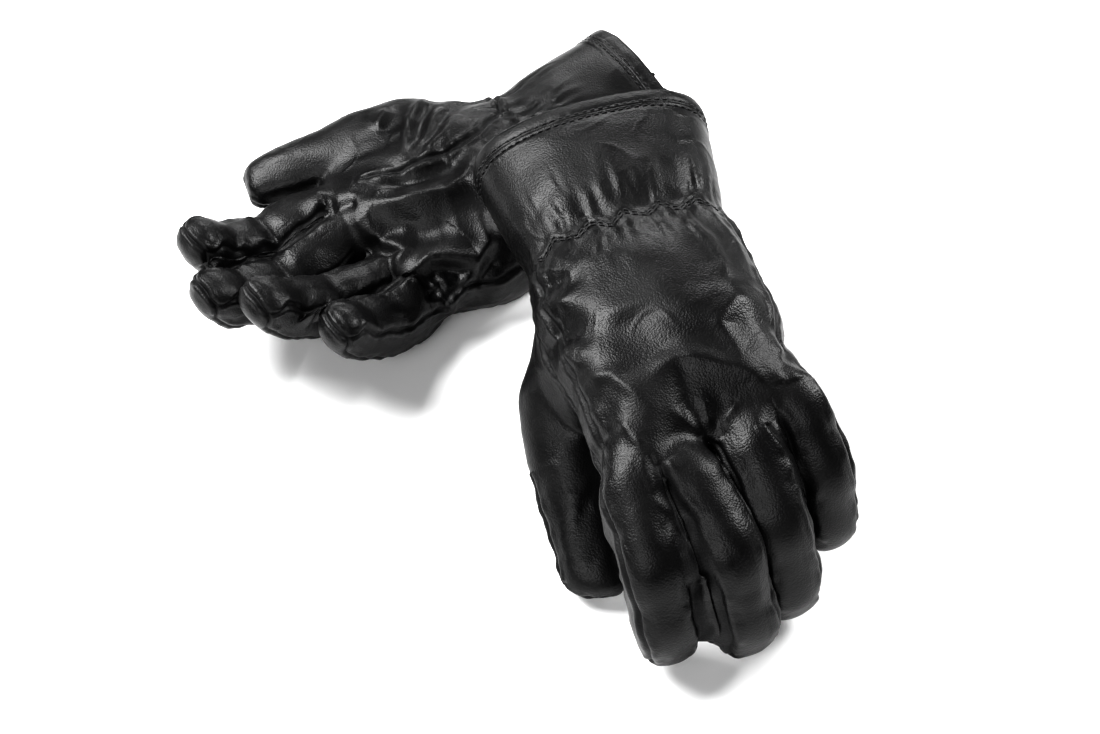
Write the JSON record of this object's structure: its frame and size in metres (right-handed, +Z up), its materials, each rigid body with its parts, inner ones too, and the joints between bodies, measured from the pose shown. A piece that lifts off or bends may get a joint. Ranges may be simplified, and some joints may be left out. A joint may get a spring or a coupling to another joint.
{
  "type": "pair of leather gloves",
  "caption": "Pair of black leather dress gloves with gathered wrists, one palm up on its back and one standing on its fingertips over it.",
  "frame": {"origin": "centre of the pair's footprint, on the surface it rests on", "axes": "+Z up; +X to the side of the standing left glove; +Y from its fingertips towards its cuff"},
  "size_m": [0.2792, 0.3481, 0.1117],
  "materials": {
    "leather": "satin black, fine pebbled grain",
    "leather_trim": "satin black, fine pebbled grain, turned edges",
    "lining_knit": "brushed black knit",
    "wrist_elastic": "woven elastic tape",
    "sewing_thread": "bonded polyester thread"
  },
  "bodies": {
    "right_hand": {"right_back_panel": "leather", "right_palm_panel": "leather", "right_index_side_strip": "leather_trim", "right_outer_side_strip": "leather_trim", "right_thumb_gusset": "leather", "right_finger_webs": "leather_trim", "right_cuff_back": "leather", "right_cuff_palm": "leather", "right_hem_binding": "leather_trim", "right_wrist_elastic": "wrist_elastic", "right_wrist_stitching": "sewing_thread", "right_hem_stitching": "sewing_thread", "right_hand_lining": "lining_knit", "right_cuff_lining": "lining_knit"},
    "left_hand": {"left_back_panel": "leather", "left_palm_panel": "leather", "left_index_side_strip": "leather_trim", "left_outer_side_strip": "leather_trim", "left_thumb_gusset": "leather", "left_finger_webs": "leather_trim", "left_cuff_back": "leather", "left_cuff_palm": "leather", "left_hem_binding": "leather_trim", "left_wrist_elastic": "wrist_elastic", "left_wrist_stitching": "sewing_thread", "left_hem_stitching": "sewing_thread", "left_hand_lining": "lining_knit", "left_cuff_lining": "lining_knit"},
    "left_index_root": {"left_index_root": "leather"},
    "left_index_mid": {"left_index_mid": "leather"},
    "left_index_tip": {"left_index_tip": "leather"},
    "left_middle_root": {"left_middle_root": "leather"},
    "left_middle_mid": {"left_middle_mid": "leather"},
    "left_middle_tip": {"left_middle_tip": "leather"},
    "left_ring_root": {"left_ring_root": "leather"},
    "left_ring_mid": {"left_ring_mid": "leather"},
    "left_ring_tip": {"left_ring_tip": "leather"},
    "left_little_root": {"left_little_root": "leather"},
    "left_little_mid": {"left_little_mid": "leather"},
    "left_little_tip": {"left_little_tip": "leather"},
    "left_thumb_root": {"left_thumb_root": "leather"},
    "left_thumb_tip": {"left_thumb_tip": "leather"},
    "right_index_root": {"right_index_root": "leather"},
    "right_index_mid": {"right_index_mid": "leather"},
    "right_index_tip": {"right_index_tip": "leather"},
    "right_middle_root": {"right_middle_root": "leather"},
    "right_middle_mid": {"right_middle_mid": "leather"},
    "right_middle_tip": {"right_middle_tip": "leather"},
    "right_ring_root": {"right_ring_root": "leather"},
    "right_ring_mid": {"right_ring_mid": "leather"},
    "right_ring_tip": {"right_ring_tip": "leather"},
    "right_little_root": {"right_little_root": "leather"},
    "right_little_mid": {"right_little_mid": "leather"},
    "right_little_tip": {"right_little_tip": "leather"},
    "right_thumb_root": {"right_thumb_root": "leather"},
    "right_thumb_tip": {"right_thumb_tip": "leather"}
  },
  "joints": [
    {"name": "left_glove_lift", "type": "slide", "parent": "right_hand", "child": "left_hand", "axis": [0, 0, 1], "range_m": [0, 0.12]},
    {"name": "left_index_root_bend", "type": "hinge", "parent": "left_hand", "child": "left_index_root", "pos_m": [0.04649, -0.12881, 0.06743], "axis": [0.9483, 0.285, 0.1397], "range_deg": [-24, 18]},
    {"name": "left_index_mid_bend", "type": "hinge", "parent": "left_index_root", "child": "left_index_mid", "pos_m": [0.05664, -0.15582, 0.0536], "axis": [0.9483, 0.285, 0.1397], "range_deg": [-42, 12]},
    {"name": "left_index_tip_bend", "type": "hinge", "parent": "left_index_mid", "child": "left_index_tip", "pos_m": [0.06291, -0.16455, 0.02883], "axis": [0.9483, 0.285, 0.1397], "range_deg": [-25.2, 7.2]},
    {"name": "left_middle_root_bend", "type": "hinge", "parent": "left_hand", "child": "left_middle_root", "pos_m": [0.07078, -0.12517, 0.07151], "axis": [0.9126, 0.3834, 0.1423], "range_deg": [-25, 35]},
    {"name": "left_middle_mid_bend", "type": "hinge", "parent": "left_middle_root", "child": "left_middle_mid", "pos_m": [0.08497, -0.15332, 0.05631], "axis": [0.9126, 0.3834, 0.1423], "range_deg": [-44, 26]},
    {"name": "left_middle_tip_bend", "type": "hinge", "parent": "left_middle_mid", "child": "left_middle_tip", "pos_m": [0.09264, -0.16121, 0.0284], "axis": [0.9126, 0.3834, 0.1423], "range_deg": [-26.4, 15.6]},
    {"name": "left_ring_root_bend", "type": "hinge", "parent": "left_hand", "child": "left_ring_root", "pos_m": [0.09358, -0.11556, 0.0743], "axis": [0.9256, 0.351, 0.1416], "range_deg": [-35, 25]},
    {"name": "left_ring_mid_bend", "type": "hinge", "parent": "left_ring_root", "child": "left_ring_mid", "pos_m": [0.10486, -0.13799, 0.05613], "axis": [0.9256, 0.351, 0.1416], "range_deg": [-38, 32]},
    {"name": "left_ring_tip_bend", "type": "hinge", "parent": "left_ring_mid", "child": "left_ring_tip", "pos_m": [0.11134, -0.14392, 0.02849], "axis": [0.9256, 0.351, 0.1416], "range_deg": [-22.8, 19.2]},
    {"name": "left_little_root_bend", "type": "hinge", "parent": "left_hand", "child": "left_little_root", "pos_m": [0.11489, -0.09997, 0.07579], "axis": [0.9056, 0.3994, 0.1426], "range_deg": [-46, 14]},
    {"name": "left_little_mid_bend", "type": "hinge", "parent": "left_little_root", "child": "left_little_mid", "pos_m": [0.12416, -0.11456, 0.05773], "axis": [0.9056, 0.3994, 0.1426], "range_deg": [-30, 40]},
    {"name": "left_little_tip_bend", "type": "hinge", "parent": "left_little_mid", "child": "left_little_tip", "pos_m": [0.12897, -0.11789, 0.03652], "axis": [0.9056, 0.3994, 0.1426], "range_deg": [-18, 24]},
    {"name": "left_thumb_root_bend", "type": "hinge", "parent": "left_hand", "child": "left_thumb_root", "pos_m": [0.03103, -0.09072, 0.03347], "axis": [-0.1184, -0.5015, 0.857], "range_deg": [-25, 5]},
    {"name": "left_thumb_tip_bend", "type": "hinge", "parent": "left_thumb_root", "child": "left_thumb_tip", "pos_m": [0.03213, -0.11407, 0.01996], "axis": [0.8492, -0.234, 0.4735], "range_deg": [-4, 49]},
    {"name": "right_index_root_bend", "type": "hinge", "parent": "right_hand", "child": "right_index_root", "pos_m": [-0.08818, 0.05805, 0.02898], "axis": [-0.636, 0.7282, 0.2556], "range_deg": [0, 42]},
    {"name": "right_index_mid_bend", "type": "hinge", "parent": "right_index_root", "child": "right_index_mid", "pos_m": [-0.11264, 0.03757, 0.02646], "axis": [-0.636, 0.7282, 0.2556], "range_deg": [-39, 15]},
    {"name": "right_index_tip_bend", "type": "hinge", "parent": "right_index_mid", "child": "right_index_tip", "pos_m": [-0.12687, 0.01997, 0.04118], "axis": [-0.636, 0.7282, 0.2556], "range_deg": [-23.4, 9]},
    {"name": "right_middle_root_bend", "type": "hinge", "parent": "right_hand", "child": "right_middle_root", "pos_m": [-0.07562, 0.03783, 0.02166], "axis": [-0.6492, 0.7169, 0.2542], "range_deg": [-1, 59]},
    {"name": "right_middle_mid_bend", "type": "hinge", "parent": "right_middle_root", "child": "right_middle_mid", "pos_m": [-0.10191, 0.01485, 0.01933], "axis": [-0.6492, 0.7169, 0.2542], "range_deg": [-37, 33]},
    {"name": "right_middle_tip_bend", "type": "hinge", "parent": "right_middle_mid", "child": "right_middle_tip", "pos_m": [-0.11775, -0.00511, 0.03516], "axis": [-0.6492, 0.7169, 0.2542], "range_deg": [-22.2, 19.8]},
    {"name": "right_ring_root_bend", "type": "hinge", "parent": "right_hand", "child": "right_ring_root", "pos_m": [-0.0581, 0.02099, 0.01622], "axis": [-0.6225, 0.7392, 0.2569], "range_deg": [-20, 40]},
    {"name": "right_ring_mid_bend", "type": "hinge", "parent": "right_ring_root", "child": "right_ring_mid", "pos_m": [-0.07956, 0.00012, 0.02428], "axis": [-0.6225, 0.7392, 0.2569], "range_deg": [-25, 45]},
    {"name": "right_ring_tip_bend", "type": "hinge", "parent": "right_ring_mid", "child": "right_ring_tip", "pos_m": [-0.09328, -0.01777, 0.04251], "axis": [-0.6225, 0.7392, 0.2569], "range_deg": [-15, 27]},
    {"name": "right_little_root_bend", "type": "hinge", "parent": "right_hand", "child": "right_little_root", "pos_m": [-0.03562, 0.00753, 0.01269], "axis": [-0.6492, 0.7169, 0.2542], "range_deg": [-26, 34]},
    {"name": "right_little_mid_bend", "type": "hinge", "parent": "right_little_root", "child": "right_little_mid", "pos_m": [-0.05138, -0.00983, 0.02138], "axis": [-0.6492, 0.7169, 0.2542], "range_deg": [-19, 51]},
    {"name": "right_little_tip_bend", "type": "hinge", "parent": "right_little_mid", "child": "right_little_tip", "pos_m": [-0.06144, -0.0238, 0.03508], "axis": [-0.6492, 0.7169, 0.2542], "range_deg": [-11.4, 30.6]},
    {"name": "right_thumb_root_bend", "type": "hinge", "parent": "right_hand", "child": "right_thumb_root", "pos_m": [-0.07026, 0.09447, 0.03484], "axis": [-0.0292, -0.2787, 0.9599], "range_deg": [-25, 5]},
    {"name": "right_thumb_tip_bend", "type": "hinge", "parent": "right_thumb_root", "child": "right_thumb_tip", "pos_m": [-0.09649, 0.08855, 0.03232], "axis": [-0.2267, 0.7296, 0.6452], "range_deg": [-6, 47]}
  ],
  "couplings": [
    {"joint": "left_index_tip_bend", "follows": "left_index_mid_bend", "ratio": 0.6},
    {"joint": "left_middle_tip_bend", "follows": "left_middle_mid_bend", "ratio": 0.6},
    {"joint": "left_ring_tip_bend", "follows": "left_ring_mid_bend", "ratio": 0.6},
    {"joint": "left_little_tip_bend", "follows": "left_little_mid_bend", "ratio": 0.6},
    {"joint": "right_index_tip_bend", "follows": "right_index_mid_bend", "ratio": 0.6},
    {"joint": "right_middle_tip_bend", "follows": "right_middle_mid_bend", "ratio": 0.6},
    {"joint": "right_ring_tip_bend", "follows": "right_ring_mid_bend", "ratio": 0.6},
    {"joint": "right_little_tip_bend", "follows": "right_little_mid_bend", "ratio": 0.6}
  ]
}
